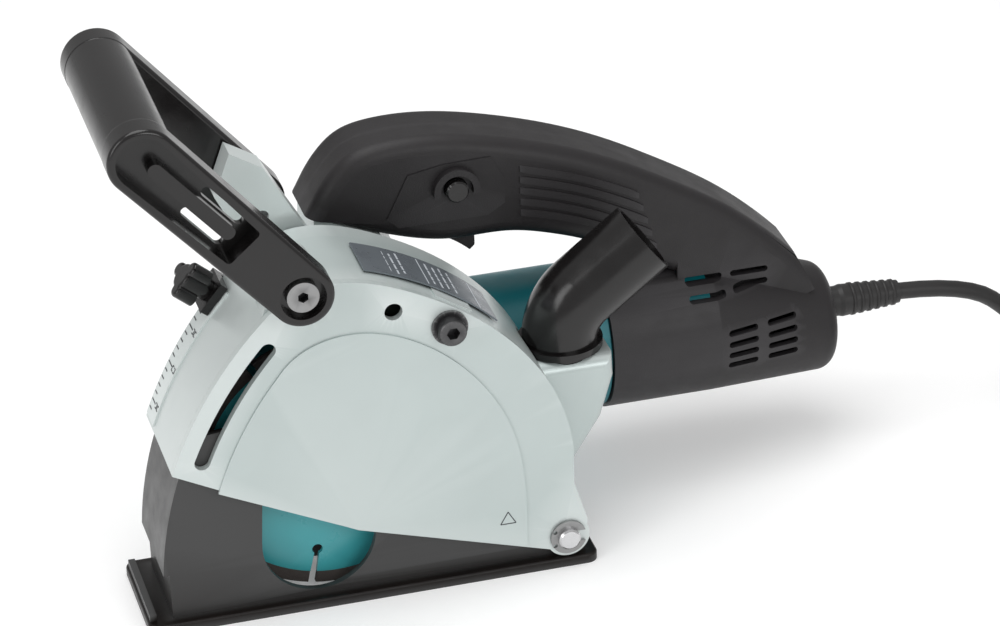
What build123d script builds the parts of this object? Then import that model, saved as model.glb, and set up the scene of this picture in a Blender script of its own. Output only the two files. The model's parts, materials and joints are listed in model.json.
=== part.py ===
from build123d import *
import math
import os

# Wall chaser: twin diamond wheels in a plunging blade case on a hinged base shoe.
# Frame: +X to the rear, +Y to the motor side, +Z up; millimetres.
# Origin: underside of the shoe, below the hinge pin, at the middle of the blade case.

os.makedirs("parts", exist_ok=True)

# ---- driving dimensions ----
WHEEL_R = 62.5            # 125 mm diamond wheels
MAX_DEPTH = 30.0          # deepest cut below the shoe
PIN_Z = 15.0              # hinge pin height above the ground face
PIN_R = 5.0
PIVOT_TO_SPINDLE = 113.2
PLUNGE = 17.3             # full plunge, degrees
CASE_HALF = 27.5          # half width of the blade case
WALL = 3.5                # casting wall of the blade case
SOLE_T = 4.5              # shoe plate thickness
SOLE_HALF = 29.0
MOTOR_Y = 61.5            # armature axis and handle centre plane
MOTOR_R = 33.5            # motor housing radius
DUCT_X = 8.0              # axis of the dust duct and its nozzle
DUCT_Y = 8.0
DUCT_HALF = 19.0
DUCT_TOP = 93.0
NOZZLE_R = 17.0
NOZZLE_BORE = 14.6
NOZZLE_FLANGE_R = 19.0
CORD_D = 8.0
RUN_FIT = 0.05            # radial clearance of turning fits

# ---- worked out from them ----
PLUNGED_Z = WHEEL_R - MAX_DEPTH - PIN_Z
PLUNGED_ANGLE = 180 - math.degrees(math.asin(PLUNGED_Z / PIVOT_TO_SPINDLE))
REST_ANGLE = PLUNGED_ANGLE - PLUNGE
WX = PIVOT_TO_SPINDLE * math.cos(math.radians(REST_ANGLE))
WZ = PIN_Z + PIVOT_TO_SPINDLE * math.sin(math.radians(REST_ANGLE))
PX = PIVOT_TO_SPINDLE * math.cos(math.radians(PLUNGED_ANGLE))
PZ = PIN_Z + PLUNGED_Z
MOTOR_Z = WZ
CASE_FRONT_R = 186.5      # front face of the blade case, about the hinge pin
BASE_FRONT_R = 182.0      # front wall of the shoe, inside the case
INNER_Y = CASE_HALF - WALL


def polar(radius, angle):
    """A point at this radius and angle about the hinge pin, in X and Z."""
    turn = math.radians(angle)
    return radius * math.cos(turn), PIN_Z + radius * math.sin(turn)


def side_plane(y):
    """Sketch plane parallel to the case walls; its normal points along +Y."""
    return Plane(origin=(0, y, 0), x_dir=(1, 0, 0), z_dir=(0, 1, 0))


def xz(x, z):
    """A point of the XZ plane as side_plane sketches measure it."""
    return x, -z


def outline(points):
    """Close a polygon given in X and Z, for a side_plane sketch."""
    return Polyline(*[xz(x, z) for x, z in points], close=True)


def front_plane(x):
    """Sketch plane across the motor axis; sketch x is Y and sketch y is Z."""
    return Plane(origin=(x, MOTOR_Y, MOTOR_Z), x_dir=(0, 1, 0), z_dir=(1, 0, 0))


def spindle_plane(y):
    """Sketch plane across the spindle axis at this Y."""
    return Plane(origin=(WX, y, WZ), x_dir=(1, 0, 0), z_dir=(0, 1, 0))


def save(part, name):
    part.label = name
    export_step(part, f"parts/{name}.step")


# =====================================================================
# Base shoe and its hinge
# =====================================================================
SOLE_FRONT = -190.0
SOLE_REAR = 14.0
SHOE_WALL_Y = 20.5        # inner face of the shoe's side walls
SHOE_WALL_T = 3.0
WINDOW_R = 25.5           # window that clears the spindle flanges when plunged

shoe_wall_points = [
    (9, 4), (9, 19), (-14, 23), (-55, 46), (-86, 84), (-133, 96),
    polar(BASE_FRONT_R - 1, 154.5), polar(BASE_FRONT_R - 1, 157.5), polar(BASE_FRONT_R - 1, 162),
    polar(BASE_FRONT_R - 1, 167), polar(BASE_FRONT_R - 1, 172), (-178.6, 4),
]

with BuildPart() as base_shoe:
    with BuildSketch(Plane.XY):
        with Locations(((SOLE_FRONT + SOLE_REAR) / 2, 0)):
            RectangleRounded(SOLE_REAR - SOLE_FRONT, 2 * SOLE_HALF, 5)
    extrude(amount=SOLE_T)
    fillet(base_shoe.edges().filter_by(Plane.XY).group_by(Axis.Z)[-1], 1.2)
    with BuildSketch(side_plane(-SHOE_WALL_Y - SHOE_WALL_T)):
        with BuildLine():
            outline(shoe_wall_points)
        make_face()
    extrude(amount=2 * (SHOE_WALL_Y + SHOE_WALL_T))
    with BuildSketch(side_plane(-SHOE_WALL_Y)):
        with BuildLine():
            outline([
                (9.5, SOLE_T), (9.5, 30), (-55, 60), (-86, 110), (-190, 110),
                polar(BASE_FRONT_R - 4, 151), polar(BASE_FRONT_R - 4, 157), polar(BASE_FRONT_R - 4, 163),
                polar(BASE_FRONT_R - 4, 169), polar(BASE_FRONT_R - 4, 175), (-178, SOLE_T),
            ])
        make_face()
    extrude(amount=2 * SHOE_WALL_Y, mode=Mode.SUBTRACT)
    # front wall, an arc about the hinge pin
    with BuildSketch(side_plane(-SHOE_WALL_Y - SHOE_WALL_T)):
        with Locations(xz(0, PIN_Z)):
            Circle(BASE_FRONT_R)
            Circle(BASE_FRONT_R - 4, mode=Mode.SUBTRACT)
        with BuildLine():
            outline([(0, PIN_Z), polar(300, 154.5), polar(300, 176.4)])
        make_face(mode=Mode.INTERSECT)
    extrude(amount=2 * (SHOE_WALL_Y + SHOE_WALL_T))
    # windows for the spindle flanges, open at the top
    with BuildSketch(side_plane(-SHOE_WALL_Y - SHOE_WALL_T - 1)):
        with Locations(xz(PX, PZ)):
            Circle(WINDOW_R)
        with BuildLine():
            outline([
                (PX - WINDOW_R, PZ + 2), (PX - WINDOW_R + 4, 110), (PX + WINDOW_R + 14, 110),
                (PX + WINDOW_R, PZ + 2),
            ])
        make_face()
    extrude(amount=2 * (SHOE_WALL_Y + SHOE_WALL_T + 1), mode=Mode.SUBTRACT)
    # slot in the sole for both wheels
    with BuildSketch(Plane.XY):
        with Locations((-111.5, 0)):
            RectangleRounded(121, 34, 4)
    extrude(amount=SOLE_T, mode=Mode.SUBTRACT)
    # turned-up lip at the front
    with BuildSketch(Plane.XY.offset(SOLE_T)):
        with Locations((SOLE_FRONT + 2.5, 0)):
            Rectangle(3, 2 * SOLE_HALF - 10)
    extrude(amount=3.5)
    # hinge bosses and bore
    with BuildSketch(side_plane(-SHOE_WALL_Y - SHOE_WALL_T)):
        with Locations(xz(0, PIN_Z)):
            Circle(9)
    extrude(amount=7)
    with BuildSketch(side_plane(SHOE_WALL_Y + SHOE_WALL_T)):
        with Locations(xz(0, PIN_Z)):
            Circle(9)
    extrude(amount=-7)
    with BuildSketch(side_plane(-40)):
        with Locations(xz(0, PIN_Z)):
            Circle(PIN_R)
    extrude(amount=80, mode=Mode.SUBTRACT)
save(base_shoe.part, "base_shoe")

PIN_END = 31.5
CLIP_Y = 28.9
with BuildPart() as hinge_pin:
    with BuildSketch(side_plane(-PIN_END)):
        with Locations(xz(0, PIN_Z)):
            Circle(PIN_R)
    extrude(amount=2 * PIN_END)
    chamfer(hinge_pin.edges().filter_by(GeomType.CIRCLE), 0.8)
    for y in (-CLIP_Y, CLIP_Y - 1):
        with BuildSketch(side_plane(y)):
            with Locations(xz(0, PIN_Z)):
                Circle(PIN_R + 1)
                Circle(PIN_R - 0.8, mode=Mode.SUBTRACT)
        extrude(amount=1, mode=Mode.SUBTRACT)
save(hinge_pin.part, "hinge_pin")

with BuildPart() as pin_clips:
    for y in (-CLIP_Y, CLIP_Y - 1):
        with BuildSketch(side_plane(y)):
            with Locations(xz(0, PIN_Z)):
                Circle(8.2)
                Circle(PIN_R - 0.8, mode=Mode.SUBTRACT)
            with Locations(xz(9.5, PIN_Z)):
                Rectangle(11, 5.4, mode=Mode.SUBTRACT)
            with Locations(xz(0, PIN_Z)):
                with Locations((-6.2, 3.4), (-6.2, -3.4)):
                    Circle(1.0, mode=Mode.SUBTRACT)
        extrude(amount=1)
save(pin_clips.part, "pin_clips")

SPRING_WIRE = 1.5
SPRING_R = PIN_R + 1.35
with BuildPart() as return_spring:
    with BuildLine():
        Helix(pitch=2.2, height=22, radius=SPRING_R, center=(0, -11, PIN_Z), direction=(0, 1, 0))
    with BuildSketch(Plane(origin=(SPRING_R, -11, PIN_Z), z_dir=(0, 0, 1))):
        Circle(SPRING_WIRE / 2)
    sweep(is_frenet=True)
save(return_spring.part, "return_spring")

# =====================================================================
# Blade case, cover, scale, depth stop
# =====================================================================
CASE_TOP_ANGLE = 134.0
BOSS_R = 10.0
CROWN = (-100.5, 159.5)
NECK_SIDE = (3.3, 60.0)
GRIP_PIVOT = (-117.5, 163.5)


def case_outline(inset=0.0):
    """Side outline of the blade case, moved inwards by inset along its curved edges."""
    r = CASE_FRONT_R - inset
    low = polar(r, 160.2)
    high = polar(r, CASE_TOP_ANGLE + inset * 0.2)
    middle = polar(r, 147)
    ThreePointArc(xz(*low), xz(*middle), xz(*high))
    Spline(
        xz(*high), xz(CROWN[0], CROWN[1] - inset), xz(-67 - inset * 0.4, 149.5 - inset * 0.9),
        xz(-36 - inset * 0.7, 129.8 - inset * 0.7), xz(-12 - inset * 0.9, 103 - inset * 0.5),
        xz(NECK_SIDE[0] - inset, NECK_SIDE[1]),
    )
    Polyline(
        xz(NECK_SIDE[0] - inset, NECK_SIDE[1]), xz(3.3 - inset, 42), xz(9.2 - inset, 22),
        xz(8, 9), xz(-8, 9.4), xz(-95, 36), xz(*low),
    )


with BuildPart() as blade_case:
    with BuildSketch(side_plane(-INNER_Y + 0.1)):
        with BuildLine():
            case_outline()
        make_face()
        with Locations(xz(0, PIN_Z)):
            Circle(BOSS_R)
    extrude(amount=INNER_Y + CASE_HALF - 0.1)
    # inside, open at the bottom and on the cover side
    with BuildSketch(side_plane(-INNER_Y)):
        with BuildLine():
            r = CASE_FRONT_R - 3
            ThreePointArc(xz(*polar(r, 164)), xz(*polar(r, 147)), xz(*polar(r, 134.6)))
            Spline(
                xz(*polar(r, 134.6)), xz(CROWN[0], CROWN[1] - 3), xz(-68.2, 146.8),
                xz(-38.1, 127.7), xz(-14.7, 101.5), xz(NECK_SIDE[0] - 3, NECK_SIDE[1]),
            )
            Polyline(
                xz(NECK_SIDE[0] - 3, NECK_SIDE[1]), xz(0.3, 42), xz(0.3, 28), xz(14, 22),
                xz(14, -20), xz(*polar(r, 164)),
            )
        make_face()
    extrude(amount=2 * INNER_Y, mode=Mode.SUBTRACT)
    # room for the shoe's hinge bosses
    with BuildSketch(side_plane(-INNER_Y)):
        with Locations(xz(0, PIN_Z)):
            Circle(11)
        with Locations(xz(0, 5)):
            Rectangle(40, 20)
    extrude(amount=2 * INNER_Y, mode=Mode.SUBTRACT)
    # dust duct behind the case
    with BuildSketch(side_plane(DUCT_Y - DUCT_HALF)):
        with BuildLine():
            outline([
                (-10, 82), (-8, DUCT_TOP), (27.5, DUCT_TOP), (28, 82), (22, 62), (10.5, 44), (3, 40), (-2, 60),
            ])
        make_face()
    extrude(amount=2 * DUCT_HALF)
    fillet(blade_case.edges().filter_by(GeomType.LINE).filter_by(
        lambda e: e.center().X > 8 and abs(abs(e.center().Y - DUCT_Y) - DUCT_HALF) < 0.1
        and e.center().Z > 45), 6)
    with BuildSketch(Plane.XY.offset(56)):
        with Locations((DUCT_X, DUCT_Y)):
            Circle(NOZZLE_BORE)
    extrude(amount=60, mode=Mode.SUBTRACT)
    with BuildSketch(Plane.XY.offset(DUCT_TOP - 9)):
        with Locations((DUCT_X, DUCT_Y)):
            Circle(NOZZLE_R + 0.3)
    extrude(amount=20, mode=Mode.SUBTRACT)
    with BuildSketch(Plane.XY.offset(DUCT_TOP)):
        with Locations((DUCT_X, DUCT_Y)):
            Circle(NOZZLE_FLANGE_R + 0.4)
    extrude(amount=20, mode=Mode.SUBTRACT)
    with BuildSketch(Plane.YZ.offset(-12)):
        with Locations((DUCT_Y, 66)):
            RectangleRounded(26, 22, 6)
    extrude(amount=16, mode=Mode.SUBTRACT)
    # lug for the near grip pivot
    with BuildSketch(side_plane(-INNER_Y + 0.1)):
        with BuildLine():
            outline([(-132, 146), (-128, 158), (-122, 172), (-112, 172), (-104, 158)])
        make_face()
        with Locations(xz(*GRIP_PIVOT)):
            Circle(10.5)
    extrude(amount=13)
    # boss that the cover bolt screws into
    with BuildSketch(side_plane(-INNER_Y + 0.1)):
        with Locations(xz(-51.2, 130.3)):
            Circle(7)
        with BuildLine():
            outline([(-58, 130), (-44, 130), (-40, 134), (-56, 144.5)])
        make_face()
    extrude(amount=14)
    with BuildSketch(side_plane(-CASE_HALF)):
        with Locations(xz(-51.2, 130.3)):
            Circle(4)
    extrude(amount=16, mode=Mode.SUBTRACT)
    # spindle opening in the far wall, pin bore, grip screw bore
    with BuildSketch(spindle_plane(INNER_Y - 1)):
        Circle(21)
    extrude(amount=10, mode=Mode.SUBTRACT)
    with BuildSketch(side_plane(-40)):
        with Locations(xz(0, PIN_Z)):
            Circle(PIN_R + RUN_FIT)
    extrude(amount=80, mode=Mode.SUBTRACT)
    with BuildSketch(side_plane(-30)):
        with Locations(xz(*GRIP_PIVOT)):
            Circle(3)
    extrude(amount=24, mode=Mode.SUBTRACT)
save(blade_case.part, "blade_case")

SLOT_R = 175.5
with BuildPart() as case_cover:
    with BuildSketch(side_plane(-CASE_HALF)):
        with BuildLine():
            case_outline()
        make_face()
        with Locations(xz(0, PIN_Z)):
            Circle(BOSS_R)
    extrude(amount=WALL)
    # raised panel over the wheels
    with BuildSketch(side_plane(-CASE_HALF - 0.8)):
        with BuildLine():
            panel_low = polar(164.2, 161.8)
            ThreePointArc(xz(*panel_low), xz(*polar(164.2, 151)), xz(*polar(164.2, 140.5)))
            Spline(
                xz(*polar(164.2, 140.5)), xz(-111, 131.4), xz(-90, 133.8), xz(-67.5, 126.3),
                xz(-41.3, 104.5), xz(-23.6, 72), xz(-19, 40), xz(-19, 13.6),
            )
            Polyline(xz(-19, 13.6), xz(-95, 36.6), xz(*panel_low))
        make_face()
    extrude(amount=1.2)
    # curved sight slot, an arc about the hinge pin
    with BuildSketch(side_plane(-CASE_HALF - 2)):
        with Locations(xz(0, PIN_Z)):
            Circle(SLOT_R + 3.5)
            Circle(SLOT_R - 3.5, mode=Mode.SUBTRACT)
        with BuildLine():
            outline([(0, PIN_Z), polar(300, 138.2), polar(300, 157.4)])
        make_face(mode=Mode.INTERSECT)
        with Locations(xz(*polar(SLOT_R, 138.2)), xz(*polar(SLOT_R, 157.4))):
            Circle(3.5)
    extrude(amount=10, mode=Mode.SUBTRACT)
    # bolt hole, accessory thread, hinge bore, corner for the grip arm's boss
    with BuildSketch(side_plane(-CASE_HALF - 2)):
        with Locations(xz(-51.2, 130.3)):
            Circle(4)
        with Locations(xz(-75.5, 141.5)):
            Circle(4)
        with Locations(xz(0, PIN_Z)):
            Circle(PIN_R + RUN_FIT)
        with Locations(xz(*GRIP_PIVOT)):
            Circle(12)
    extrude(amount=10, mode=Mode.SUBTRACT)
save(case_cover.part, "case_cover")

with BuildPart() as cover_bolt:
    with BuildSketch(side_plane(-CASE_HALF - 1.6)):
        with Locations(xz(-51.2, 130.3)):
            Circle(8)
    extrude(amount=1.6)
    with BuildSketch(side_plane(-CASE_HALF - 7)):
        with Locations(xz(-51.2, 130.3)):
            Circle(6.2)
    extrude(amount=6)
    chamfer(cover_bolt.faces().sort_by(Axis.Y)[0].edges(), 0.6)
    with BuildSketch(side_plane(-CASE_HALF - 7)):
        with Locations(xz(-51.2, 130.3)):
            RegularPolygon(3, 6)
    extrude(amount=4, mode=Mode.SUBTRACT)
    with BuildSketch(side_plane(-CASE_HALF - 1.5)):
        with Locations(xz(-51.2, 130.3)):
            Circle(3.9)
    extrude(amount=16)
save(cover_bolt.part, "cover_bolt")


def front_band(inner, outer, start, stop):
    """Sector of a ring about the hinge pin."""
    with BuildSketch(mode=Mode.PRIVATE) as ring:
        with Locations(xz(0, PIN_Z)):
            Circle(outer)
            Circle(inner, mode=Mode.SUBTRACT)
        with BuildLine():
            outline([(0, PIN_Z), polar(400, start), polar(400, stop)])
        make_face(mode=Mode.INTERSECT)
    return ring.sketch


with BuildPart() as depth_scale:
    with BuildSketch(side_plane(13)):
        add(front_band(CASE_FRONT_R, CASE_FRONT_R + 0.8, 138, 159.5))
    extrude(amount=13)
save(depth_scale.part, "depth_scale")

STOP_ANGLE = 140.5
with BuildPart() as depth_stop:
    with BuildSketch(side_plane(14)):
        add(front_band(CASE_FRONT_R + 1.1, CASE_FRONT_R + 5, STOP_ANGLE - 3, STOP_ANGLE + 1.6))
    extrude(amount=16)
    with BuildSketch(side_plane(CASE_HALF + 0.3)):
        add(front_band(CASE_FRONT_R - 8, CASE_FRONT_R + 5, STOP_ANGLE - 3, STOP_ANGLE + 1.6))
    extrude(amount=2.7)
save(depth_stop.part, "depth_stop")

knob_x, knob_z = polar(CASE_FRONT_R + 5.1, STOP_ANGLE - 0.7)
knob_dir = (math.cos(math.radians(STOP_ANGLE - 0.7)), 0, math.sin(math.radians(STOP_ANGLE - 0.7)))
KNOB_PLANE = Plane(origin=(knob_x, 22, knob_z), x_dir=(0, 1, 0), z_dir=knob_dir)
with BuildPart() as depth_knob:
    with BuildSketch(KNOB_PLANE):
        Circle(5)
    extrude(amount=4)
    with BuildSketch(KNOB_PLANE.offset(4)):
        Circle(6)
        with PolarLocations(6.5, 3):
            Circle(3.4)
    extrude(amount=10)
    fillet(depth_knob.faces().sort_by(Axis(KNOB_PLANE.origin, knob_dir))[-1].edges(), 1.5)
save(depth_knob.part, "depth_knob")

LABEL_LINE = [(-86, 157.0), (-67, 149.5), (-50, 140.1), (-36, 129.8), (-28, 122.3)]
LABEL_T = 0.7
with BuildPart() as rating_label:
    with BuildSketch(side_plane(-17)):
        with BuildLine():
            Spline(*[xz(x + 0.6, z + 0.8) for x, z in LABEL_LINE])
            Polyline(xz(-27.4, 123.1), xz(-26.9, 123.6))
            Spline(*[xz(x + 1.1, z + 1.3) for x, z in LABEL_LINE])
            Line(xz(-85.4, 157.8), xz(-84.9, 158.3))
        make_face()
    extrude(amount=26)
save(rating_label.part, "rating_label")

# =====================================================================
# Side outline of the handle, which the gear housing's neck carries
# =====================================================================
HANDLE_HALF = 18.0
EXIT_Z = MOTOR_Z - 4.4    # axis of the lead where it leaves the rear cover
BODY_R = 35.0
BODY_FRONT = 39.0
BODY_REAR = 151.0
TAPER_FRONT = 90.0        # the rear cover narrows from here to its end
TAIL_R = 24.5
TAIL_DROP = BODY_R - TAIL_R
SHELL = 3.0

handle_top = [
    (-92, 159), (-84.5, 170.5), (-74, 179.5), (-59, 183.2), (-26, 181.5), (-6, 177),
    (24, 167.5), (49, 156.5), (74, 142.5), (99, 126.5), (119, 110), (131, 98),
]
handle_under = [(74, 97), (58, 106), (36.5, 118), (14, 126.5), (-4, 130.5), (-31, 131), (-55, 136.5), (-88, 151)]


def handle_side(inset=0.0):
    """Side outline of the handle, moved inwards by inset."""
    top = [(x + inset * 0.5, z - inset) for x, z in handle_top]
    under = [(x, z + inset) for x, z in handle_under]
    foot = (-95.5 + inset, 152.5 + inset)
    tail = (140 - inset, 79)
    Spline(*[xz(*p) for p in top])
    Polyline(xz(*top[-1]), xz(*tail), xz(120, 70), xz(74, 70), xz(*under[0]))
    Spline(*[xz(*p) for p in under])
    Polyline(xz(*under[-1]), xz(*foot), xz(*top[0]))


# =====================================================================
# Gear housing and spindle group
# =====================================================================
HEAD_R = 31.0
CAVITY_R = 27.3           # round the bevel gear
FAR_FACE = 94.0
SPINDLE_R = 7.5

neck_points = [(-96, 90), (-92, 155), (-64, 146), (-62, 138), (-54, 128), (-38, 88)]

LOCK_PLANE = Plane(origin=(WX, 41, WZ), x_dir=(0, 1, 0), z_dir=(-1, 0, 0))

with BuildPart() as gear_housing:
    with BuildSketch(spindle_plane(34)):
        Circle(HEAD_R)
    extrude(amount=FAR_FACE - 34)
    fillet(gear_housing.edges().filter_by(GeomType.CIRCLE).sort_by(Axis.Y)[-1], 8)
    with BuildSketch(front_plane(WX)):
        Circle(MOTOR_R)
    extrude(amount=-24 - WX)
    # neck up to the handle's front foot
    with BuildSketch(side_plane(46)):
        with BuildLine():
            outline(neck_points)
        make_face()
    extrude(amount=31)
    # ear for the far grip pivot
    with BuildSketch(side_plane(34)):
        with Locations(xz(*GRIP_PIVOT)):
            Circle(12.5)
        with BuildLine():
            outline([
                (-129, 158), (-138, 176), (-130.5, 196), (-116, 187), (-104, 165), (-90, 140), (-92, 92),
                (-112, 92), (-114, 130),
            ])
        make_face()
    extrude(amount=12.5)
    # flat seat against the blade case and the bearing box
    with BuildSketch(spindle_plane(0)):
        Circle(HEAD_R + 0.2)
    extrude(amount=34, mode=Mode.SUBTRACT)
    # room for the bevel gears, then for the motor's front end
    with BuildSketch(spindle_plane(30)):
        Circle(CAVITY_R)
    extrude(amount=54, mode=Mode.SUBTRACT)
    with BuildSketch(front_plane(WX)):
        Circle(16.3)
    extrude(amount=52, mode=Mode.SUBTRACT)
    with BuildSketch(front_plane(-56)):
        Circle(29)
    extrude(amount=33, mode=Mode.SUBTRACT)
    # seat of the rear spindle bearing
    with BuildSketch(spindle_plane(84)):
        Circle(9)
    extrude(amount=7, mode=Mode.SUBTRACT)
    # the handle's foot rests on the neck
    with BuildSketch(side_plane(30)):
        with BuildLine():
            handle_side()
        make_face()
    extrude(amount=70, mode=Mode.SUBTRACT)
    # bore of the far grip screw
    with BuildSketch(side_plane(30)):
        with Locations(xz(*GRIP_PIVOT)):
            Circle(3)
    extrude(amount=20, mode=Mode.SUBTRACT)
    # button bore of the shaft lock, from the front
    with BuildSketch(LOCK_PLANE.offset(20)):
        Circle(3.6)
    extrude(amount=30, mode=Mode.SUBTRACT)
save(gear_housing.part, "gear_housing")

with BuildPart() as bearing_box:
    with BuildSketch(spindle_plane(CASE_HALF)):
        Circle(CAVITY_R - 0.1)
        Circle(17.5, mode=Mode.SUBTRACT)
    extrude(amount=9.9)
    with BuildSketch(spindle_plane(CASE_HALF - WALL + 0.2)):
        Circle(20.8)
        Circle(9.5, mode=Mode.SUBTRACT)
    extrude(amount=4)
save(bearing_box.part, "bearing_box")

with BuildPart() as gearbox_screws:
    for dx, dz in [(0, -30.3), (-30.3, 0), (-21.4, 21.4)]:
        with BuildSketch(Plane(origin=(WX + dx * 0.75, FAR_FACE, WZ + dz * 0.75), z_dir=(0, 1, 0))):
            Circle(3.6)
        extrude(amount=2.6)
save(gearbox_screws.part, "gearbox_screws")

with BuildPart() as spindle_bearing:
    with BuildSketch(spindle_plane(28.6)):
        Circle(17.45)
        Circle(SPINDLE_R + RUN_FIT, mode=Mode.SUBTRACT)
    extrude(amount=8.6)
    for y in (28.6, 36.4):
        with BuildSketch(spindle_plane(y)):
            Circle(14)
            Circle(11, mode=Mode.SUBTRACT)
        extrude(amount=0.8, mode=Mode.SUBTRACT)
save(spindle_bearing.part, "spindle_bearing")

with BuildPart() as rear_bush:
    with BuildSketch(spindle_plane(84.2)):
        Circle(8.95)
        Circle(5 + RUN_FIT, mode=Mode.SUBTRACT)
    extrude(amount=6.6)
save(rear_bush.part, "rear_bush")

NEAR_DISC_Y = -12.2
DISC_T = 2.4
FAR_DISC_Y = 9.8
with BuildPart() as spindle:
    for y, length, radius in (
        (-21, 33.2, 7.0), (12.2, 5.0, 8.5), (17.2, 20.3, SPINDLE_R), (37.5, 10, 7.4), (47.5, 43, 5.0),
    ):
        with BuildSketch(spindle_plane(y)):
            Circle(radius)
        extrude(amount=length)
    with BuildSketch(spindle_plane(17.2)):
        Circle(9.4)
    extrude(amount=10.8)
    chamfer(spindle.faces().sort_by(Axis.Y)[0].edges(), 1)
    with BuildSketch(spindle_plane(-22)):
        RegularPolygon(3, 6)
    extrude(amount=6, mode=Mode.SUBTRACT)
save(spindle.part, "spindle")


GEAR_TEETH = 28
PINION_TEETH = 8
MESH_R = 25.6             # outer end of the teeth, from the spindle axis
TOOTH_FACE = 7.0
SHRINK = (MESH_R - TOOTH_FACE) / MESH_R
GEAR_ROOT = 10.3          # depth of the gear's root below the pinion axis
GEAR_BACK_Y = 38.0


def tooth_profile(root_half, tip_half, height, scale=1.0):
    """Symmetrical tooth standing on the sketch's x axis."""
    with BuildSketch(mode=Mode.PRIVATE) as tooth:
        with BuildLine():
            Polyline(
                (-root_half * scale, -1.4), (root_half * scale, -1.4),
                (tip_half * scale, height * scale), (-tip_half * scale, height * scale), close=True,
            )
        make_face()
    return tooth.sketch


with BuildPart() as bevel_gear:
    with BuildSketch(Plane(origin=(WX, 0, WZ), x_dir=(1, 0, 0), z_dir=(0, 0, 1))):
        with BuildLine():
            Polyline(
                (SPINDLE_R - 0.1, GEAR_BACK_Y), (MESH_R + 0.6, GEAR_BACK_Y), (MESH_R + 0.6, MOTOR_Y - GEAR_ROOT - 0.5),
                (MESH_R - TOOTH_FACE - 1, MOTOR_Y - GEAR_ROOT * SHRINK), (12, 50), (SPINDLE_R - 0.1, 50), close=True,
            )
        make_face()
    revolve(axis=Axis((WX, 0, WZ), (0, 1, 0)))
    for i in range(GEAR_TEETH):
        turn = math.radians(360 / GEAR_TEETH * (i + 0.5))
        out = Vector(math.cos(turn), 0, math.sin(turn))
        across = Vector(-math.sin(turn), 0, math.cos(turn))
        big = Vector(WX, MOTOR_Y - GEAR_ROOT, WZ) + out * MESH_R
        small = Vector(WX, MOTOR_Y - GEAR_ROOT * SHRINK, WZ) + out * (MESH_R - TOOTH_FACE)
        with BuildSketch(Plane(origin=big, x_dir=across, z_dir=small - big)):
            Trapezoid(2.4, 3.4, 82)
        extrude(amount=(small - big).length)
save(bevel_gear.part, "bevel_gear")

PINION_CORE = 5.6
PINION_X = WX + MESH_R
with BuildPart() as pinion:
    with BuildSketch(Plane.XY.offset(MOTOR_Z)):
        with BuildLine():
            Polyline(
                (PINION_X - TOOTH_FACE, MOTOR_Y), (PINION_X - TOOTH_FACE, MOTOR_Y + PINION_CORE * SHRINK),
                (PINION_X, MOTOR_Y + PINION_CORE), (PINION_X + 5, MOTOR_Y + PINION_CORE),
                (PINION_X + 5, MOTOR_Y + 3.5), (PINION_X - 3, MOTOR_Y + 3.5), (PINION_X - 3, MOTOR_Y), close=True,
            )
        make_face()
    revolve(axis=Axis((0, MOTOR_Y, MOTOR_Z), (1, 0, 0)))
    for i in range(PINION_TEETH):
        turn = math.radians(360 / PINION_TEETH * i - 90)
        out = Vector(0, math.cos(turn + math.pi / 2) * -1, math.sin(turn + math.pi / 2))
        across = Vector(1, 0, 0).cross(out)
        centre = Vector(PINION_X, MOTOR_Y, MOTOR_Z)
        with BuildSketch(Plane(origin=centre + out * PINION_CORE, x_dir=across, z_dir=(-1, 0, 0))):
            add(tooth_profile(1.3, 0.6, 3.4))
        tip = centre + Vector(-TOOTH_FACE, 0, 0) + out * PINION_CORE * SHRINK
        with BuildSketch(Plane(origin=tip, x_dir=across, z_dir=(-1, 0, 0))):
            add(tooth_profile(1.3, 0.6, 3.4, SHRINK))
        loft()
save(pinion.part, "pinion")

FLANGE_R = 20.0
with BuildPart() as inner_flange:
    with BuildSketch(spindle_plane(FAR_DISC_Y + DISC_T)):
        Circle(FLANGE_R)
        Circle(8.5, mode=Mode.SUBTRACT)
    extrude(amount=4.8)
    chamfer(inner_flange.faces().sort_by(Axis.Y)[-1].edges().sort_by(SortBy.LENGTH)[-1], 1.5)
save(inner_flange.part, "inner_flange")

with BuildPart() as disc_spacers:
    gaps = [(NEAR_DISC_Y + DISC_T, 6.4), (NEAR_DISC_Y + DISC_T + 6.4, 6.4), (NEAR_DISC_Y + DISC_T + 12.8, 6.8)]
    for y, length in gaps:
        with BuildSketch(spindle_plane(y)):
            Circle(16)
            Circle(7.0, mode=Mode.SUBTRACT)
        extrude(amount=length - 0.02)
save(disc_spacers.part, "disc_spacers")

with BuildPart() as lock_nut:
    with BuildSketch(spindle_plane(NEAR_DISC_Y)):
        Circle(FLANGE_R)
        Circle(7.0, mode=Mode.SUBTRACT)
    extrude(amount=-3)
    with BuildSketch(spindle_plane(NEAR_DISC_Y - 3)):
        Circle(14)
        Circle(7.0, mode=Mode.SUBTRACT)
    extrude(amount=-3.4)
    with BuildSketch(spindle_plane(NEAR_DISC_Y)):
        with PolarLocations(16.8, 4):
            Circle(2)
    extrude(amount=-4, mode=Mode.SUBTRACT)
save(lock_nut.part, "lock_nut")

CORE_R = 57.0
DISC_SLOTS = 8
SLOT_START = 258.8        # direction of the first gullet slot, degrees


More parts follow.
